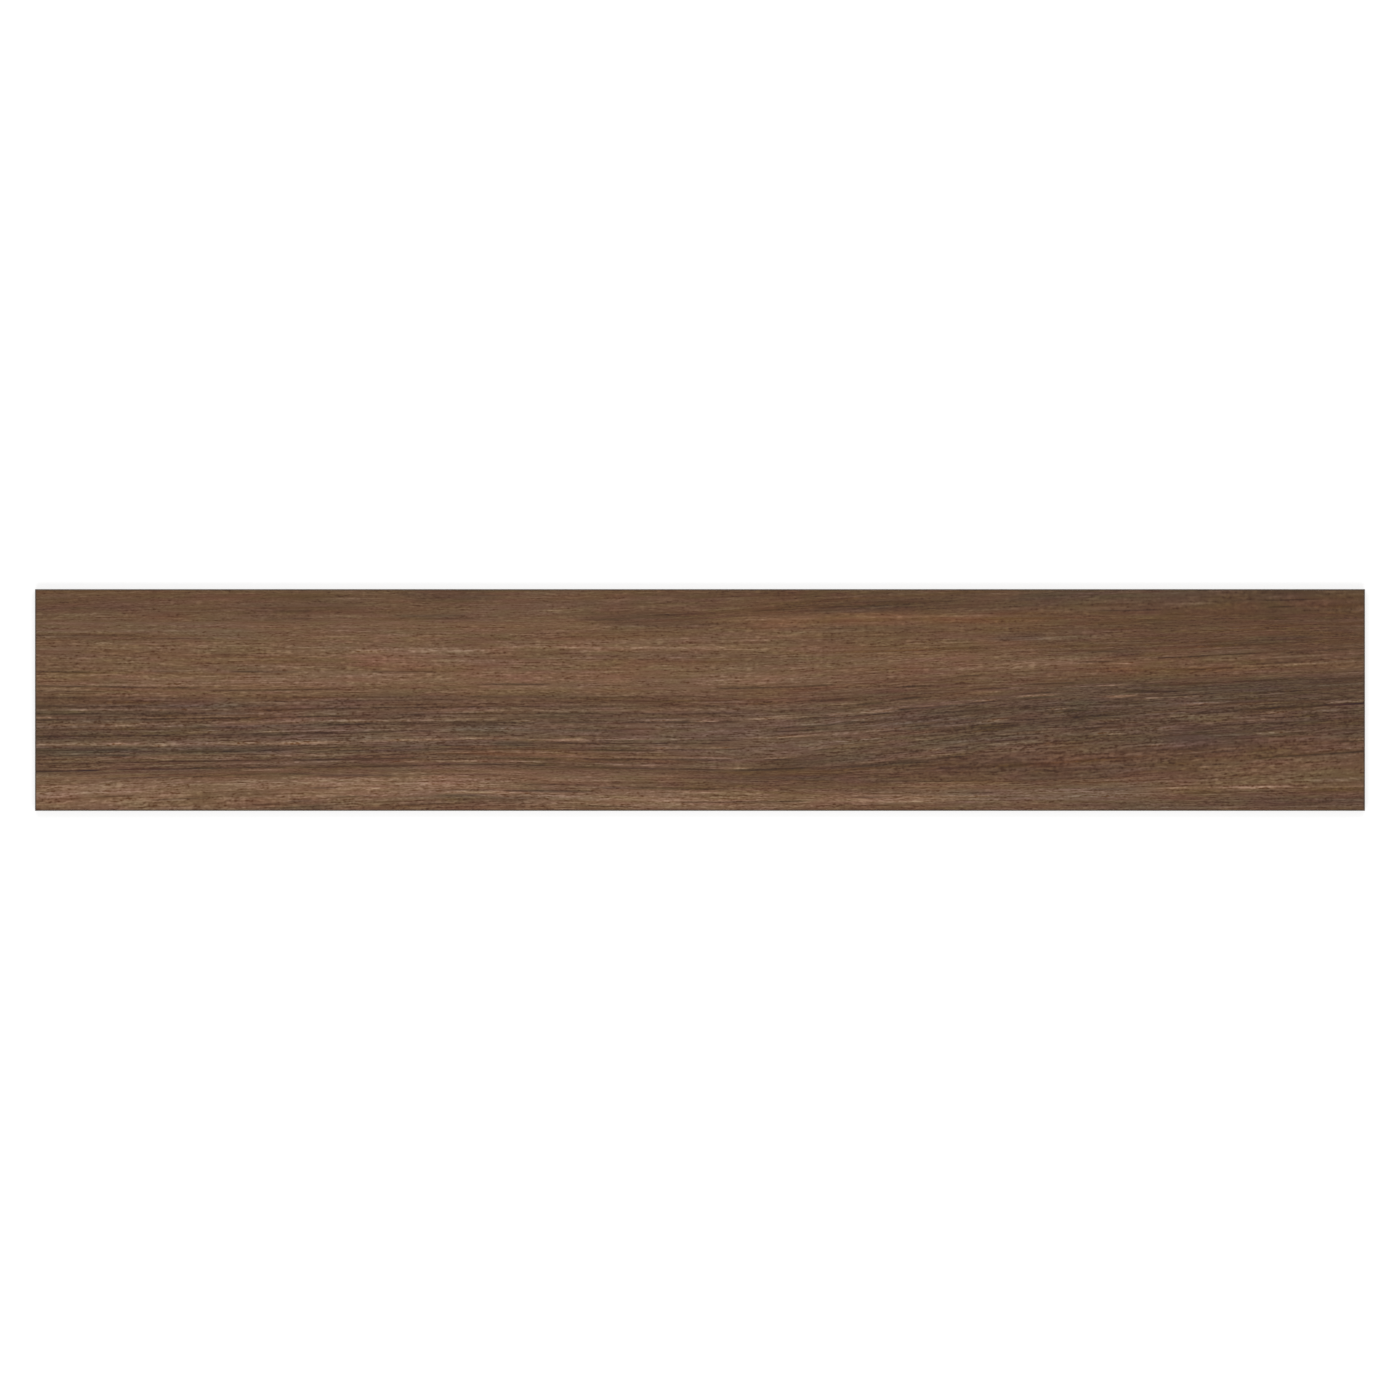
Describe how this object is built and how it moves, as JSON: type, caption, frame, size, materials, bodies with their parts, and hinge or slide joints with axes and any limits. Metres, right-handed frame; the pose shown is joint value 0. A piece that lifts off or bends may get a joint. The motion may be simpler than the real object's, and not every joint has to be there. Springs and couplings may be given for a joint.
{
  "type": "wood look porcelain plank tile",
  "caption": "Long flat porcelain floor and wall tile with a dark walnut wood-grain printed face, ground square edges with a fine bevel, and a shallow keyed back for bonding.",
  "frame": {"origin": "centre of the plane that the back ribs rest on", "axes": "+X along the plank, +Y across it, +Z out of the printed face"},
  "size_m": [1.2, 0.2, 0.009],
  "materials": {
    "porcelain": "matte walnut-look printed glaze on a brown porcelain body"
  },
  "bodies": {
    "root": {"plank_tile": "porcelain"}
  },
  "joints": []
}
